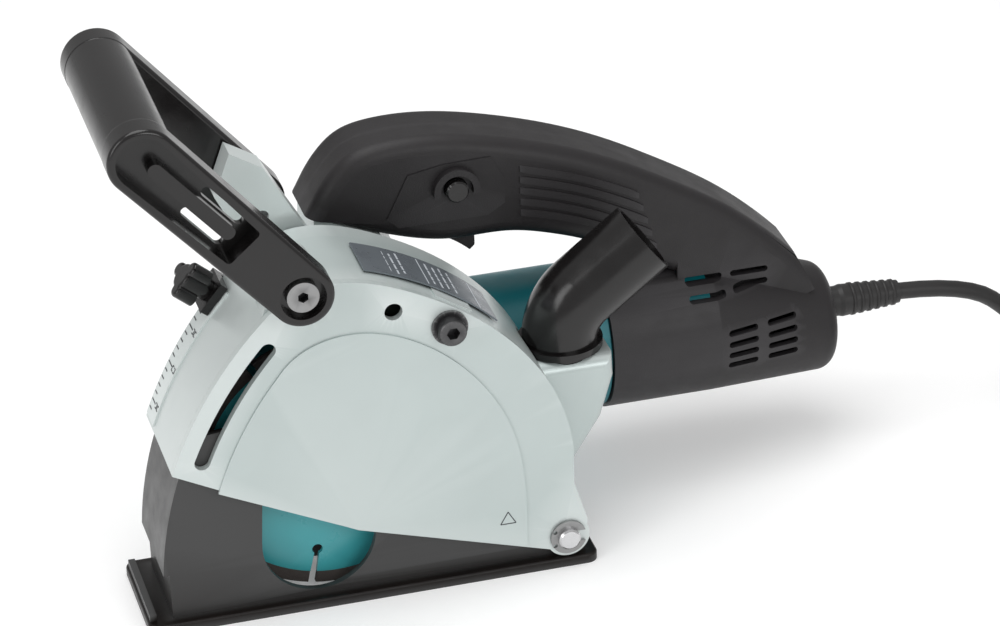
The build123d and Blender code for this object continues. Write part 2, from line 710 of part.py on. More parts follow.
def disc_core(y, name):
    with BuildPart() as core:
        with BuildSketch(spindle_plane(y + 0.2)):
            Circle(CORE_R)
            Circle(7.0, mode=Mode.SUBTRACT)
            for i in range(DISC_SLOTS):
                turn = math.radians(SLOT_START + 360 / DISC_SLOTS * i)
                hole = (45.7 * math.cos(turn), -45.7 * math.sin(turn))
                mouth = (60 * math.cos(turn), -60 * math.sin(turn))
                with Locations(hole):
                    Circle(2.4, mode=Mode.SUBTRACT)
                with BuildLine():
                    across = (-math.sin(turn), -math.cos(turn))
                    Polyline(
                        (hole[0] + across[0], hole[1] + across[1]), (hole[0] - across[0], hole[1] - across[1]),
                        (mouth[0] - 1.6 * across[0], mouth[1] - 1.6 * across[1]),
                        (mouth[0] + 1.6 * across[0], mouth[1] + 1.6 * across[1]), close=True,
                    )
                make_face(mode=Mode.SUBTRACT)
        extrude(amount=DISC_T - 0.4)
    save(core.part, name)


def disc_rim(y, name):
    with BuildPart() as rim:
        with BuildSketch(spindle_plane(y)):
            Circle(WHEEL_R)
            Circle(CORE_R, mode=Mode.SUBTRACT)
            for i in range(DISC_SLOTS):
                turn = SLOT_START + 360 / DISC_SLOTS * i
                middle = (60 * math.cos(math.radians(turn)), -60 * math.sin(math.radians(turn)))
                with Locations(middle):
                    Rectangle(14, 3.4, rotation=-turn, mode=Mode.SUBTRACT)
        extrude(amount=DISC_T)
    save(rim.part, name)


disc_core(NEAR_DISC_Y, "near_disc_core")
disc_rim(NEAR_DISC_Y, "near_disc_rim")
disc_core(FAR_DISC_Y, "far_disc_core")
disc_rim(FAR_DISC_Y, "far_disc_rim")

with BuildPart() as shaft_lock:
    with BuildSketch(LOCK_PLANE.offset(29.2)):
        Circle(3.5)
    extrude(amount=9)
    with BuildSketch(LOCK_PLANE.offset(36)):
        Circle(6)
    extrude(amount=4)
    fillet(shaft_lock.faces().sort_by(Axis.X)[0].edges(), 1)
save(shaft_lock.part, "shaft_lock")

# =====================================================================
# Motor
# =====================================================================


def rod(x, length, radius, bore=0.0):
    """A coaxial motor piece: a cylinder along X, with a bore if one is given."""
    with BuildSketch(front_plane(x), mode=Mode.PRIVATE) as section:
        Circle(radius)
        if bore:
            Circle(bore, mode=Mode.SUBTRACT)
    extrude(section.sketch, amount=length)


with BuildPart() as motor_housing:
    rod(-23.9, 62, MOTOR_R, 30)
    rod(38.1, 50, 31, 28.5)
    rod(84, 4, 30.9, 11.1)
    with BuildSketch(front_plane(48)):
        Rectangle(80, 13)
    extrude(amount=16, mode=Mode.SUBTRACT)
save(motor_housing.part, "motor_housing")

with BuildPart() as motor_bearings:
    rod(-66, 9, 16.2, 5 + RUN_FIT)
    rod(80.2, 7.6, 11, 4 + RUN_FIT)
save(motor_bearings.part, "motor_bearings")

with BuildPart() as armature_shaft:
    rod(PINION_X - 3, 8, 3.5)
    rod(PINION_X + 5, 30, 5)
    rod(PINION_X + 35, 119.5, 5)
    rod(78.5, 12, 4)
save(armature_shaft.part, "armature_shaft")

with BuildPart() as armature_core:
    rod(-20, 50, 19.5, 5)
    with BuildSketch(front_plane(-20)):
        with PolarLocations(18.4, 12):
            Rectangle(3.4, 2.2, mode=Mode.ADD)
    extrude(amount=50, mode=Mode.SUBTRACT)
save(armature_core.part, "armature_core")

with BuildPart() as armature_windings:
    rod(-31, 11, 16, 5)
    rod(30, 11, 16, 5)
    fillet(armature_windings.edges().filter_by(GeomType.CIRCLE).filter_by(lambda e: e.radius > 15), 3)
save(armature_windings.part, "armature_windings")

with BuildPart() as commutator:
    rod(46, 20, 13, 5)
    with BuildSketch(front_plane(46)):
        with PolarLocations(13, 24):
            Rectangle(1.6, 0.6)
    extrude(amount=17, mode=Mode.SUBTRACT)
save(commutator.part, "commutator")

FAN_BLADES = 11
with BuildPart() as cooling_fan:
    rod(-50, 2, 27, 5)
    rod(-50, 12, 9, 5)
    with BuildSketch(front_plane(-48.2)):
        with PolarLocations(17.5, FAN_BLADES):
            Rectangle(18, 1.6, rotation=24)
    extrude(amount=9.2)
save(cooling_fan.part, "cooling_fan")

with BuildPart() as field_core:
    rod(-20, 50, 29.9, 27)
    for side in (-1, 1):
        with BuildSketch(front_plane(-20)):
            Circle(27.2)
            Circle(20.1, mode=Mode.SUBTRACT)
            with Locations((0, side * 30)):
                Rectangle(44, 34, mode=Mode.INTERSECT)
        extrude(amount=50)
save(field_core.part, "field_core")

with BuildPart() as field_coils:
    for side in (-1, 1):
        with BuildSketch(front_plane(-26)):
            Circle(26.8)
            Circle(20.6, mode=Mode.SUBTRACT)
            with Locations((side * 25, 0)):
                Rectangle(22, 22, mode=Mode.INTERSECT)
        extrude(amount=62)
save(field_coils.part, "field_coils")

with BuildPart() as brush_holders:
    for side in (-1, 1):
        with BuildSketch(Plane(origin=(56, MOTOR_Y + side * 14.2, MOTOR_Z), x_dir=(1, 0, 0), z_dir=(0, side, 0))):
            Rectangle(13, 10)
            Rectangle(9.2, 6.2, mode=Mode.SUBTRACT)
        extrude(amount=16)
save(brush_holders.part, "brush_holders")

with BuildPart() as carbon_brushes:
    for side in (-1, 1):
        with BuildSketch(Plane(origin=(56, MOTOR_Y + side * 13.3, MOTOR_Z), x_dir=(1, 0, 0), z_dir=(0, side, 0))):
            Rectangle(9, 6)
        extrude(amount=12)
save(carbon_brushes.part, "carbon_brushes")

with BuildPart() as brush_caps:
    for side in (-1, 1):
        with BuildSketch(Plane(origin=(56, MOTOR_Y + side * 30.5, MOTOR_Z), x_dir=(1, 0, 0), z_dir=(0, side, 0))):
            Circle(6)
        extrude(amount=0.8)
save(brush_caps.part, "brush_caps")

# =====================================================================
# Handle: two half shells that also cover the rear of the motor
# =====================================================================
with BuildPart() as rear_cover:
    with BuildSketch(front_plane(BODY_FRONT)):
        Circle(BODY_R)
    extrude(amount=TAPER_FRONT - BODY_FRONT)
    with BuildSketch(front_plane(TAPER_FRONT)):
        Circle(BODY_R)
    with BuildSketch(front_plane(BODY_REAR)):
        with Locations((0, -TAIL_DROP)):
            Circle(TAIL_R)
    loft()
    fillet(rear_cover.faces().sort_by(Axis.X)[-1].edges(), 8)

with BuildPart() as rear_cavity:
    with BuildSketch(front_plane(BODY_FRONT - 1)):
        Circle(BODY_R - SHELL)
    extrude(amount=TAPER_FRONT - BODY_FRONT + 1)
    with BuildSketch(front_plane(TAPER_FRONT)):
        Circle(BODY_R - SHELL)
    with BuildSketch(front_plane(BODY_REAR - 7)):
        with Locations((0, -TAIL_DROP * 0.885)):
            Circle(TAIL_R - 1.8)
    loft()

with BuildPart() as handle_shell:
    with BuildSketch(side_plane(MOTOR_Y - HANDLE_HALF)):
        with BuildLine():
            handle_side()
        make_face()
    extrude(amount=2 * HANDLE_HALF)
    side_edges = handle_shell.faces().filter_by(Axis.Y).edges()
    fillet(side_edges.filter_by(lambda e: e.center().Z > 100 and e.length > 12), 7)
    add(rear_cover.part)
    # hollow inside
    with BuildSketch(side_plane(MOTOR_Y - HANDLE_HALF + SHELL)):
        with BuildLine():
            handle_side(SHELL)
        make_face()
    extrude(amount=2 * (HANDLE_HALF - SHELL), mode=Mode.SUBTRACT)
    add(rear_cavity.part, mode=Mode.SUBTRACT)
    # trigger opening in the underside, cord exit at the rear
    with BuildSketch(Plane.XY.offset(110)):
        with Locations((-37.1, MOTOR_Y)):
            Rectangle(45.8, 19)
    extrude(amount=36, mode=Mode.SUBTRACT)
    with BuildSketch(front_plane(BODY_REAR - 20)):
        with Locations((0, EXIT_Z - MOTOR_Z)):
            Circle(7.2)
    extrude(amount=40, mode=Mode.SUBTRACT)
    # bore of the lock button
    with BuildSketch(side_plane(0)):
        with Locations(xz(-28.5, 158.5)):
            Circle(5.4)
    extrude(amount=MOTOR_Y, mode=Mode.SUBTRACT)
    # cooling slots on both sides of the rear body
    for x in (101, 121):
        for z in (71.5, 66, 60.5, 55):
            with BuildSketch(side_plane(0)):
                with Locations(xz(x, z)):
                    SlotOverall(15, 3)
            extrude(amount=2 * MOTOR_Y, mode=Mode.SUBTRACT)
    for x in (86, 108):
        for z in (88, 94):
            with BuildSketch(side_plane(0)):
                with Locations(xz(x, z)):
                    SlotOverall(18, 3)
            extrude(amount=2 * MOTOR_Y, mode=Mode.SUBTRACT)

with BuildPart() as handle_near_half:
    add(handle_shell.part)
    split(bisect_by=side_plane(MOTOR_Y), keep=Keep.BOTTOM)
save(handle_near_half.part, "handle_near_half")

with BuildPart() as handle_far_half:
    add(handle_shell.part)
    split(bisect_by=side_plane(MOTOR_Y), keep=Keep.TOP)
save(handle_far_half.part, "handle_far_half")

with BuildPart() as handle_screws:
    for x, z in ((-80, 165), (2, 158), (62, 128), (112, 98), (124, 48)):
        with BuildSketch(side_plane(MOTOR_Y + 2)):
            with Locations(xz(x, z)):
                Circle(3)
        extrude(amount=9)
save(handle_screws.part, "handle_screws")

# =====================================================================
# Switch, trigger and lock-off button
# =====================================================================
TRIGGER_PIVOT = (-56, 143)
with BuildPart() as trigger:
    with BuildSketch(side_plane(MOTOR_Y - 8.5)):
        with BuildLine():
            Spline(xz(-56, 137.6), xz(-42, 134.4), xz(-29, 128.4), xz(-19.5, 120.8))
            Polyline(
                xz(-19.5, 120.8), xz(-17.8, 122.4), xz(-18.2, 140), xz(-50, 146), xz(-57, 145.5),
                xz(-56, 137.6),
            )
        make_face()
    extrude(amount=17)
    fillet(trigger.faces().filter_by(Axis.Y).edges().filter_by(lambda e: e.center().Z < 131), 2.5)
    with BuildSketch(side_plane(0)):
        with Locations(xz(*TRIGGER_PIVOT)):
            Circle(1.6)
    extrude(amount=100, mode=Mode.SUBTRACT)
save(trigger.part, "trigger")

with BuildPart() as trigger_pin:
    with BuildSketch(side_plane(MOTOR_Y - 11.5)):
        with Locations(xz(*TRIGGER_PIVOT)):
            Circle(1.55)
    extrude(amount=23)
save(trigger_pin.part, "trigger_pin")

with BuildPart() as switch_unit:
    with BuildSketch(side_plane(MOTOR_Y - 6.5)):
        with BuildLine():
            outline([(-66, 158), (-12, 152), (-10, 167), (-64, 171.5)])
        make_face()
    extrude(amount=16.5)
save(switch_unit.part, "switch_unit")

LOCK_BUTTON = (-28.5, 158.5)
with BuildPart() as lock_button:
    with BuildSketch(side_plane(MOTOR_Y - HANDLE_HALF - 5)):
        with Locations(xz(*LOCK_BUTTON)):
            Circle(5.1)
    extrude(amount=12.8)
    chamfer(lock_button.faces().sort_by(Axis.Y)[0].edges(), 0.7)
save(lock_button.part, "lock_button")

# raised guard around the lock button, and the dark switch panel
PANEL_T = 0.6
with BuildPart() as switch_panel:
    with BuildSketch(side_plane(MOTOR_Y - HANDLE_HALF - PANEL_T)):
        with BuildLine():
            outline([
                (-60, 148), (-50, 168), (-34, 171), (-12, 171.5), (-6, 160), (-6, 148), (-14, 143), (-40, 143),
                (-55, 143),
            ])
        make_face()
        with Locations(xz(*LOCK_BUTTON)):
            Circle(5.4, mode=Mode.SUBTRACT)
    extrude(amount=PANEL_T)
    with BuildSketch(side_plane(MOTOR_Y - HANDLE_HALF - 4)):
        with Locations(xz(*LOCK_BUTTON)):
            Circle(10.5)
            Circle(7.5, mode=Mode.SUBTRACT)
        with Locations(xz(LOCK_BUTTON[0], LOCK_BUTTON[1] - 9)):
            Rectangle(30, 14, mode=Mode.SUBTRACT)
    extrude(amount=3.6)
save(switch_panel.part, "switch_panel")

# =====================================================================
# Front grip
# =====================================================================
GRIP_DIR = 131.0
GRIP_LENGTH = 97.0
NEAR_ARM_Y = -43.5
NEAR_ARM_T = 13.5
FAR_ARM_Y = 48.0
FAR_ARM_T = 13.0
GRIP_X = GRIP_PIVOT[0] + GRIP_LENGTH * math.cos(math.radians(GRIP_DIR))
GRIP_Z = GRIP_PIVOT[1] + GRIP_LENGTH * math.sin(math.radians(GRIP_DIR))


def arm_plane(y):
    """Sketch plane on an arm: sketch x runs along the arm from the pivot, y to its rear side."""
    turn = math.radians(GRIP_DIR)
    along = (math.cos(turn), 0, math.sin(turn))
    return Plane(origin=(GRIP_PIVOT[0], y, GRIP_PIVOT[1]), x_dir=along, z_dir=(0, -1, 0))


def arm(y, thickness):
    """Tapered arm with round ends, from this Y towards +Y."""
    with BuildSketch(arm_plane(y), mode=Mode.PRIVATE) as blank:
        Circle(13.75)
        with Locations((GRIP_LENGTH, 0)):
            Circle(15)
        make_hull()
    extrude(blank.sketch, amount=-thickness)


with BuildPart() as front_grip:
    arm(NEAR_ARM_Y, NEAR_ARM_T)
    arm(FAR_ARM_Y, FAR_ARM_T)
    fillet(front_grip.faces().filter_by(Axis.Y).edges(), 2)
    with BuildSketch(side_plane(NEAR_ARM_Y + 5)):
        with Locations(xz(GRIP_X, GRIP_Z)):
            Circle(14.8)
    extrude(amount=FAR_ARM_Y + FAR_ARM_T - NEAR_ARM_Y - 7)
    # pocket for the wrench in the near arm
    with BuildSketch(arm_plane(NEAR_ARM_Y)):
        with Locations((GRIP_LENGTH, 0)):
            Circle(11.5)
        with Locations((46, 0)):
            RectangleRounded(20, 19, 2)
        make_hull()
    extrude(amount=-10, mode=Mode.SUBTRACT)
    with BuildSketch(arm_plane(NEAR_ARM_Y)):
        with Locations((53, 6), (53, -6)):
            SlotOverall(24, 4.4)
    extrude(amount=-20, mode=Mode.SUBTRACT)
    # screw seats and bores
    with BuildSketch(arm_plane(NEAR_ARM_Y)):
        Circle(10)
    extrude(amount=-5, mode=Mode.SUBTRACT)
    with BuildSketch(arm_plane(FAR_ARM_Y + FAR_ARM_T)):
        Circle(10)
    extrude(amount=5, mode=Mode.SUBTRACT)
    with BuildSketch(arm_plane(NEAR_ARM_Y - 5)):
        Circle(3.1)
    extrude(amount=-120, mode=Mode.SUBTRACT)
save(front_grip.part, "front_grip")

with BuildPart() as grip_screws:
    for face, inward in ((NEAR_ARM_Y + 5, 1), (FAR_ARM_Y + FAR_ARM_T - 5, -1)):
        with BuildSketch(Plane(origin=(GRIP_PIVOT[0], face, GRIP_PIVOT[1]), z_dir=(0, -inward, 0))):
            Circle(7)
            RegularPolygon(2.5, 6, mode=Mode.SUBTRACT)
        extrude(amount=4)
        with BuildSketch(Plane(origin=(GRIP_PIVOT[0], face, GRIP_PIVOT[1]), z_dir=(0, inward, 0))):
            Circle(3.0 - RUN_FIT)
        extrude(amount=20)
save(grip_screws.part, "grip_screws")

with BuildPart() as stored_wrench:
    with BuildSketch(arm_plane(NEAR_ARM_Y + 4)):
        with Locations((67, 0)):
            SlotOverall(50, 6.4)
    extrude(amount=-5.9)
save(stored_wrench.part, "stored_wrench")

# =====================================================================
# Dust nozzle
# =====================================================================
NOZZLE_TURN = 52.5
ELBOW_R = 26.0
ELBOW_Z = DUCT_TOP + 4
SPIGOT = 36.0
nozzle_turn = math.radians(NOZZLE_TURN)


def elbow_point(angle):
    """A point on the elbow's centre line."""
    return DUCT_X + ELBOW_R * (1 - math.cos(angle)), DUCT_Y, ELBOW_Z + ELBOW_R * math.sin(angle)


elbow_end = Vector(*elbow_point(nozzle_turn))
spigot_end = elbow_end + Vector(math.sin(nozzle_turn), 0, math.cos(nozzle_turn)) * SPIGOT

with BuildPart() as dust_nozzle:
    with BuildLine():
        Line((DUCT_X, DUCT_Y, DUCT_TOP - 8.6), (DUCT_X, DUCT_Y, ELBOW_Z))
        ThreePointArc((DUCT_X, DUCT_Y, ELBOW_Z), elbow_point(nozzle_turn / 2), elbow_end)
        Line(elbow_end, spigot_end)
    with BuildSketch(Plane.XY.offset(DUCT_TOP - 8.6)):
        with Locations((DUCT_X, DUCT_Y)):
            Circle(NOZZLE_R)
            Circle(NOZZLE_BORE, mode=Mode.SUBTRACT)
    sweep()
    with BuildSketch(Plane.XY.offset(DUCT_TOP + 0.3)):
        with Locations((DUCT_X, DUCT_Y)):
            Circle(NOZZLE_FLANGE_R)
            Circle(NOZZLE_BORE, mode=Mode.SUBTRACT)
    extrude(amount=3.2)
save(dust_nozzle.part, "dust_nozzle")

# =====================================================================
# Mains lead
# =====================================================================
GUARD_REAR = BODY_REAR + 36
with BuildPart() as cord_guard:
    with BuildSketch(Plane.XY.offset(EXIT_Z)):
        with BuildLine():
            Polyline(
                (BODY_REAR - 12, MOTOR_Y), (BODY_REAR - 12, MOTOR_Y + 9.5), (BODY_REAR - 8.1, MOTOR_Y + 9.5),
                (BODY_REAR - 8.1, MOTOR_Y + 7.1), (BODY_REAR + 6, MOTOR_Y + 7.1), (BODY_REAR + 8, MOTOR_Y + 7.6),
                (GUARD_REAR, MOTOR_Y + 5.4), (GUARD_REAR, MOTOR_Y), close=True,
            )
        make_face()
    revolve(axis=Axis((0, MOTOR_Y, EXIT_Z), (1, 0, 0)))
save(cord_guard.part, "cord_guard")

COIL_X = 330.0
COIL_Y = 20.0
COIL_R = 46.0             # radius at the middle of the turns
COIL_HALF = 13.0
COIL_H = 24.5
CORD_Z = CORD_D / 2

cord_route = [
    (GUARD_REAR, MOTOR_Y, EXIT_Z), (222, MOTOR_Y, 59), (248, 62.2, 37), (265, 63.2, 12), (286.5, 64.8, CORD_Z + 0.1),
]


def corner_radii(route):
    """Radius at each inner corner: 0.45 of the shorter run over the tangent of half the turn."""
    radii = []
    for before, here, after in zip(route, route[1:], route[2:]):
        run_in = Vector(here) - Vector(before)
        run_out = Vector(after) - Vector(here)
        half_turn = math.radians(run_in.get_angle(run_out)) / 2
        radii.append(0.45 * min(run_in.length, run_out.length) / math.tan(half_turn))
    return radii


radii = corner_radii(cord_route)
print("cord radii", [round(r, 1) for r in radii])
with BuildPart() as mains_cord:
    with BuildLine():
        FilletPolyline(*cord_route, radius=radii)
    with BuildSketch(Plane(origin=(GUARD_REAR, MOTOR_Y, EXIT_Z), x_dir=(0, 1, 0), z_dir=(1, 0, 0))):
        Circle(CORD_D / 2)
    sweep()
print("cord volume over section", round(mains_cord.part.volume / (math.pi * (CORD_D / 2) ** 2), 1))
save(mains_cord.part, "mains_cord")

with BuildPart() as cord_coil:
    with BuildSketch(Plane.XZ.offset(-COIL_Y)):
        with Locations((COIL_X + COIL_R, COIL_H / 2)):
            RectangleRounded(2 * COIL_HALF, COIL_H, 6)
    revolve(axis=Axis((COIL_X, COIL_Y, 0), (0, 0, 1)))
save(cord_coil.part, "cord_coil")

PLUG_FRONT = COIL_X - 80
PLUG_Y = COIL_Y - COIL_R
PLUG_Z = 13.0
plug_plane = Plane(origin=(PLUG_FRONT, PLUG_Y, PLUG_Z), x_dir=(0, 1, 0), z_dir=(1, 0, 0))
with BuildPart() as mains_plug:
    with BuildSketch(plug_plane):
        RectangleRounded(34, 26, 11)
    with BuildSketch(plug_plane.offset(10)):
        RectangleRounded(30, 24, 11)
    with BuildSketch(plug_plane.offset(34)):
        Circle(7)
    loft()
save(mains_plug.part, "mains_plug")

with BuildPart() as plug_pins:
    with BuildSketch(plug_plane):
        with Locations((-9.5, 0), (9.5, 0)):
            Circle(2.4)
    extrude(amount=-19)
save(plug_pins.part, "plug_pins")
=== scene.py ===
import json
import math

import bmesh
import bpy
from mathutils import Matrix, Vector


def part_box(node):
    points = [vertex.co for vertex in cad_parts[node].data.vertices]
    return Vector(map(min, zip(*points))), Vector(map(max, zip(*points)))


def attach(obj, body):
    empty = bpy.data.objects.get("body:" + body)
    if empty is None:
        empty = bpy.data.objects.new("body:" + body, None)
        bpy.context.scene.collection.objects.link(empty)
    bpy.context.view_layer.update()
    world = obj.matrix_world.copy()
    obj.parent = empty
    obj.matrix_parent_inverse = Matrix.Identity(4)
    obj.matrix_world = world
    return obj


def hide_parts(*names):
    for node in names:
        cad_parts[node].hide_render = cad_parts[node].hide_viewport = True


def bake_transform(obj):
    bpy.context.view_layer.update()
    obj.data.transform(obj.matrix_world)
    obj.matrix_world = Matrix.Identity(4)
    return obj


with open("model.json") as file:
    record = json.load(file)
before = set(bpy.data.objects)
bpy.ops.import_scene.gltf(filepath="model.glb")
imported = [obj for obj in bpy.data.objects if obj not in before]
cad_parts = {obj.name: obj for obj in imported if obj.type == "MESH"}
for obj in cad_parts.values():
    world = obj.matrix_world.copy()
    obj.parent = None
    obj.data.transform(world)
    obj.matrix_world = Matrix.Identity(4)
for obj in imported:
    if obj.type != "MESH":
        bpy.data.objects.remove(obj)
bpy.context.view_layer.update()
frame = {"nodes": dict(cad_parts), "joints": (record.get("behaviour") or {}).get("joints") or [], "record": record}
NODES = frame["nodes"]
MM = 0.001


def joint_of(name):
    """The record's joint with this name."""
    return next(j for j in frame["joints"] if j["name"] == name)


PIN = Vector(joint_of("plunge")["pos_m"])
SPINDLE = Vector(joint_of("spindle_spin")["pos_m"])
MOTOR_Y = joint_of("armature_spin")["pos_m"][1]
HANDLE_HALF = 18 * MM     # half width of the handle


# ---------------------------------------------------------------- camera
def make_camera():
    """Three-quarter view from the cover side, slightly above, framed on the tool."""
    right = Vector((0.9623, -0.2710, -0.0229)).normalized()
    up = Vector((0.1507, 0.4614, 0.8743))
    up = (up - right * up.dot(right)).normalized()
    back = right.cross(up)
    pin_end = Vector((PIN.x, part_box("hinge_pin")[0].y, PIN.z))
    target = pin_end + right * -0.0313 + up * 0.1007
    distance = 1.9
    view_width = 0.4430
    camera_data = bpy.data.cameras.new("camera")
    camera_data.sensor_width = 36.0
    camera_data.lens = 36.0 * distance / view_width
    camera = bpy.data.objects.new("camera", camera_data)
    bpy.context.scene.collection.objects.link(camera)
    place = Matrix((right, up, back)).transposed().to_4x4()
    place.translation = target + back * distance
    camera.matrix_world = place
    bpy.context.scene.camera = camera


# ---------------------------------------------------------------- materials
def new_material(name, color, roughness, metallic=0.0, coat=0.0, coat_roughness=0.2):
    """A Principled material; returns it with its node tree and shader."""
    material = bpy.data.materials.new(name)
    material.use_nodes = True
    tree = material.node_tree
    shader = tree.nodes["Principled BSDF"]
    shader.inputs["Base Color"].default_value = (*color, 1)
    shader.inputs["Roughness"].default_value = roughness
    shader.inputs["Metallic"].default_value = metallic
    shader.inputs["Coat Weight"].default_value = coat
    shader.inputs["Coat Roughness"].default_value = coat_roughness
    return material, tree, shader


def noise(tree, scale, detail=3.0, roughness=0.55, distortion=0.0, stretch=(1, 1, 1)):
    """Noise over object coordinates, in metres."""
    coords = tree.nodes.new("ShaderNodeTexCoord")
    mapping = tree.nodes.new("ShaderNodeMapping")
    mapping.inputs["Scale"].default_value = stretch
    texture = tree.nodes.new("ShaderNodeTexNoise")
    texture.inputs["Scale"].default_value = scale
    texture.inputs["Detail"].default_value = detail
    texture.inputs["Roughness"].default_value = roughness
    texture.inputs["Distortion"].default_value = distortion
    tree.links.new(coords.outputs["Object"], mapping.inputs["Vector"])
    tree.links.new(mapping.outputs["Vector"], texture.inputs["Vector"])
    return texture.outputs["Fac"]


def ramp(tree, value, low, high, out_low, out_high):
    """Maps value from low..high to out_low..out_high."""
    node = tree.nodes.new("ShaderNodeMapRange")
    node.inputs["From Min"].default_value = low
    node.inputs["From Max"].default_value = high
    node.inputs["To Min"].default_value = out_low
    node.inputs["To Max"].default_value = out_high
    tree.links.new(value, node.inputs["Value"])
    return node.outputs["Result"]


def blend_colors(tree, factor, first, second):
    """Mix of two colours, or sockets, by a factor socket."""
    node = tree.nodes.new("ShaderNodeMix")
    node.data_type = "RGBA"
    tree.links.new(factor, node.inputs[0])
    for value, index in ((first, 6), (second, 7)):
        if hasattr(value, "is_linked"):
            tree.links.new(value, node.inputs[index])
        else:
            node.inputs[index].default_value = (*value, 1)
    return node.outputs[2]


def add_bump(tree, shader, height, strength, distance):
    """Bump from a height socket."""
    node = tree.nodes.new("ShaderNodeBump")
    node.inputs["Strength"].default_value = strength
    node.inputs["Distance"].default_value = distance
    tree.links.new(height, node.inputs["Height"])
    tree.links.new(node.outputs["Normal"], shader.inputs["Normal"])


def edge_mask(tree, low=0.53, high=0.62):
    """White along convex edges."""
    geometry = tree.nodes.new("ShaderNodeNewGeometry")
    return ramp(tree, geometry.outputs["Pointiness"], low, high, 0.0, 1.0)


def finish(
    name, color, roughness, metallic=0.0, coat=0.0, grain=900.0, bump=0.08, depth=0.0003,
    tint=0.12, rough_spread=0.08, worn=None, stretch=(1, 1, 1), specular=0.5,
):
    """A surface with fine grain, slow colour drift, uneven gloss and optional edge wear."""
    material, tree, shader = new_material(name, color, roughness, metallic, coat)
    shader.inputs["Specular IOR Level"].default_value = specular
    drift = noise(tree, 28.0, 4.0)
    dark = tuple(c * (1 - tint) for c in color)
    light = tuple(min(1.0, c * (1 + tint)) for c in color)
    shade = blend_colors(tree, ramp(tree, drift, 0.3, 0.7, 0.0, 1.0), dark, light)
    if worn:
        shade = blend_colors(tree, edge_mask(tree), shade, worn)
    tree.links.new(shade, shader.inputs["Base Color"])
    gloss = noise(tree, 90.0, 5.0)
    tree.links.new(
        ramp(tree, gloss, 0.3, 0.7, roughness - rough_spread, roughness + rough_spread),
        shader.inputs["Roughness"],
    )
    add_bump(tree, shader, noise(tree, grain, 3.0, stretch=stretch), bump, depth)
    return material


def make_materials():
    """One material for each finish on the object."""
    m = {}
    m["case_paint"] = finish(
        "silver_green_paint", (0.47, 0.53, 0.52), 0.36, metallic=0.35, coat=0.2, grain=1400,
        bump=0.05, tint=0.02, rough_spread=0.04, worn=(0.60, 0.65, 0.64),
    )
    m["raw_aluminium"] = finish("cast_aluminium", (0.6, 0.61, 0.62), 0.42, 0.9, grain=700, bump=0.1)
    m["shoe_black"] = finish(
        "shoe_black_paint", (0.008, 0.006, 0.0052), 0.4, coat=0.05, grain=900, bump=0.06, tint=0.3,
        worn=(0.06, 0.06, 0.06), specular=0.22,
    )
    m["bright_steel"] = finish(
        "ground_steel", (0.62, 0.62, 0.63), 0.24, 1.0, grain=1200, bump=0.04, stretch=(1, 0.04, 1),
    )
    m["dark_steel"] = finish("black_oxide_steel", (0.045, 0.045, 0.047), 0.4, 0.85, worn=(0.3, 0.3, 0.3))
    m["bearing_steel"] = finish("hardened_steel", (0.48, 0.48, 0.5), 0.28, 1.0)
    m["bronze"] = finish("sintered_bronze", (0.5, 0.3, 0.12), 0.45, 0.9)
    m["scale_plate"] = finish(
        "scale_plate", (0.66, 0.71, 0.70), 0.36, metallic=0.2, tint=0.02, grain=1400, bump=0.03,
    )
    m["label_plate"] = finish("label_foil", (0.16, 0.18, 0.20), 0.3, 0.4, tint=0.05, bump=0.02)
    m["disc_paint"] = finish(
        "teal_enamel", (0.0, 0.15, 0.19), 0.32, coat=0.2, grain=1000, bump=0.04, worn=(0.05, 0.35, 0.38),
    )
    m["diamond_rim"] = finish(
        "diamond_segment", (0.07, 0.06, 0.055), 0.7, 0.4, grain=2600, bump=0.6, depth=0.0006, tint=0.4,
    )
    m["teal_plastic"] = finish(
        "teal_nylon", (0.0, 0.155, 0.185), 0.42, grain=1300, bump=0.12, tint=0.08,
    )
    m["handle_plastic"] = finish(
        "charcoal_moulding", (0.0135, 0.0118, 0.0128), 0.5, grain=1700, bump=0.22, depth=0.0004, tint=0.06,
        rough_spread=0.05, worn=(0.03, 0.028, 0.03), specular=0.4,
    )
    m["black_plastic"] = finish(
        "black_moulding", (0.0055, 0.0047, 0.0047), 0.22, grain=1100, bump=0.05, tint=0.2, rough_spread=0.06,
    )
    m["core_steel"] = finish(
        "laminated_steel", (0.2, 0.2, 0.21), 0.5, 0.9, grain=500, bump=0.5, stretch=(8, 0.1, 0.1),
    )
    m["copper"] = finish(
        "enamelled_copper", (0.42, 0.13, 0.04), 0.3, 0.9, grain=600, bump=0.6, stretch=(0.3, 4, 4),
    )
    m["carbon"] = finish("pressed_carbon", (0.02, 0.02, 0.02), 0.75, grain=1800, bump=0.3)
    m["cord_rubber"] = finish(
        "rubber_sheath", (0.014, 0.013, 0.013), 0.5, grain=1200, bump=0.12, tint=0.15,
    )
    m["print_dark"] = finish("print_dark", (0.03, 0.033, 0.04), 0.4, tint=0.1, bump=0.02)
    m["print_light"] = finish("print_light", (0.62, 0.66, 0.70), 0.35, 0.3, tint=0.05, bump=0.02)
    return m


def dress_cad(m):
    """Give every carried-over CAD node the material of its slot."""
    slot_of = {s["node"]: s["material_slot"] for s in frame["record"]["subparts"]}
    for name, node in NODES.items():
        node.data.materials.clear()
        node.data.materials.append(m[slot_of[name]])


# ---------------------------------------------------------------- mesh helpers
def mesh_object(name, bm, material, smooth=True):
    """Turn a bmesh into an object with this material."""
    bmesh.ops.recalc_face_normals(bm, faces=bm.faces)
    mesh = bpy.data.meshes.new(name)
    bm.to_mesh(mesh)
    bm.free()
    obj = bpy.data.objects.new(name, mesh)
    bpy.context.scene.collection.objects.link(obj)
    mesh.materials.append(material)
    for polygon in mesh.polygons:
        polygon.use_smooth = smooth
    return obj


